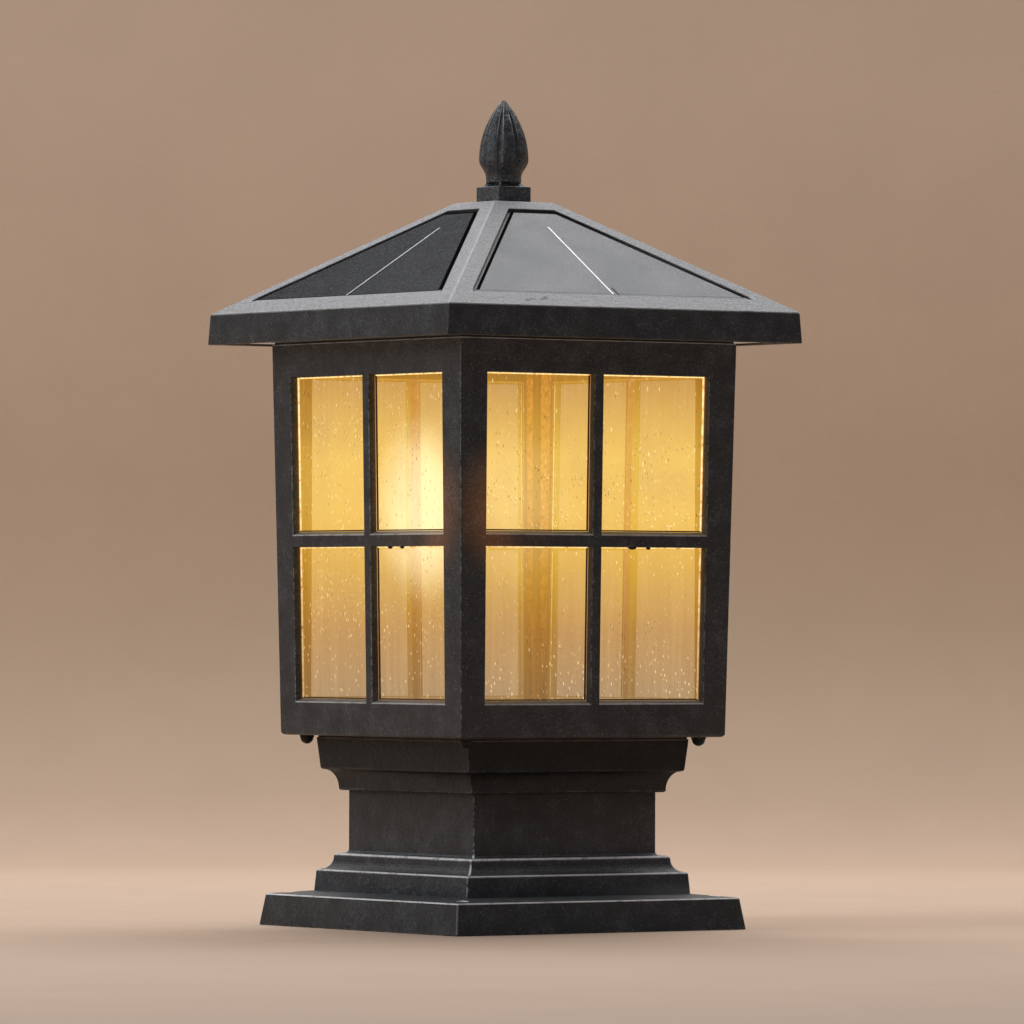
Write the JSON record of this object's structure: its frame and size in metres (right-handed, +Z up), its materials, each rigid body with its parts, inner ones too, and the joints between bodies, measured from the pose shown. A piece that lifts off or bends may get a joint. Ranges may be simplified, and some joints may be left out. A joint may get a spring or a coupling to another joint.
{
  "type": "pillar lantern",
  "caption": "Square cast lantern with amber glazed sides, a hipped roof carrying solar panels, a flame-shaped finial and a moulded pedestal that bolts to a pillar",
  "frame": {"origin": "centre of the pedestal's foot, on the plane it stands on", "axes": "+Z up; the four glazed sides face -Y, +X, +Y and -X, the switch is on the +Y side"},
  "size_m": [0.3054, 0.3054, 0.5913],
  "materials": {
    "black_coat": "sandy black powder coat on cast aluminium, worn pale at the arrises",
    "amber_glass": "seeded amber glass, lit from inside",
    "seal_rubber": "black rubber",
    "zinc_steel": "zinc-plated steel",
    "galvanised_sheet": "galvanised steel sheet",
    "solar_cell": "dark solar cells under satin cover glass",
    "silver_ribbon": "dull silver printed line",
    "pad_foam": "black foam tape",
    "opal_plastic": "opal plastic, lit",
    "white_board": "white circuit board",
    "chip_phosphor": "yellow phosphor, lit",
    "black_plastic": "moulded black plastic",
    "cell_wrap": "blue shrink sleeve on the cells",
    "spacer_brass": "turned brass",
    "green_board": "green circuit board",
    "red_plastic": "red silicone-covered button",
    "wire_sleeve": "red sleeving on the lead wires"
  },
  "bodies": {
    "lantern": {"pedestal": "black_coat", "neck_gasket": "seal_rubber", "neck_bolts": "zinc_steel", "neck_washers": "zinc_steel", "neck_nuts": "zinc_steel", "cage_frame": "black_coat", "pane_front": "amber_glass", "pane_right": "amber_glass", "pane_back": "amber_glass", "pane_left": "amber_glass", "pane_seals": "seal_rubber", "glazing_strips_low": "zinc_steel", "glazing_strips_top": "zinc_steel", "strip_screws": "zinc_steel", "tie_rods": "zinc_steel", "rod_washers": "zinc_steel", "rod_nuts": "zinc_steel", "dome_nuts": "black_coat", "eave_gasket": "seal_rubber", "roof_pan": "galvanised_sheet", "grommet": "seal_rubber", "roof_shell": "black_coat", "roof_screws": "black_coat", "panel_front": "solar_cell", "panel_right": "solar_cell", "panel_back": "solar_cell", "panel_left": "solar_cell", "panel_pads": "pad_foam", "panel_ribbons": "silver_ribbon", "finial": "black_coat", "finial_bolt": "zinc_steel", "finial_washer": "zinc_steel", "light_board": "white_board", "light_chips": "chip_phosphor", "opal_cover": "opal_plastic", "light_screws": "zinc_steel", "battery_tray": "black_plastic", "battery_cells": "cell_wrap", "battery_contacts": "zinc_steel", "board_spacers": "spacer_brass", "control_board": "green_board", "control_parts": "black_plastic", "lead_wires": "wire_sleeve", "inner_screws": "zinc_steel", "switch_body": "black_plastic", "switch_nut": "zinc_steel", "button_spring": "zinc_steel"},
    "button": {"button": "red_plastic"}
  },
  "joints": [
    {"name": "switch_press", "type": "slide", "parent": "lantern", "child": "button", "axis": [0, 0, 1], "range_m": [0, 0.002], "stiffness_N_per_m": 250, "springref_m": -0.004, "deforming": ["button_spring"]}
  ]
}
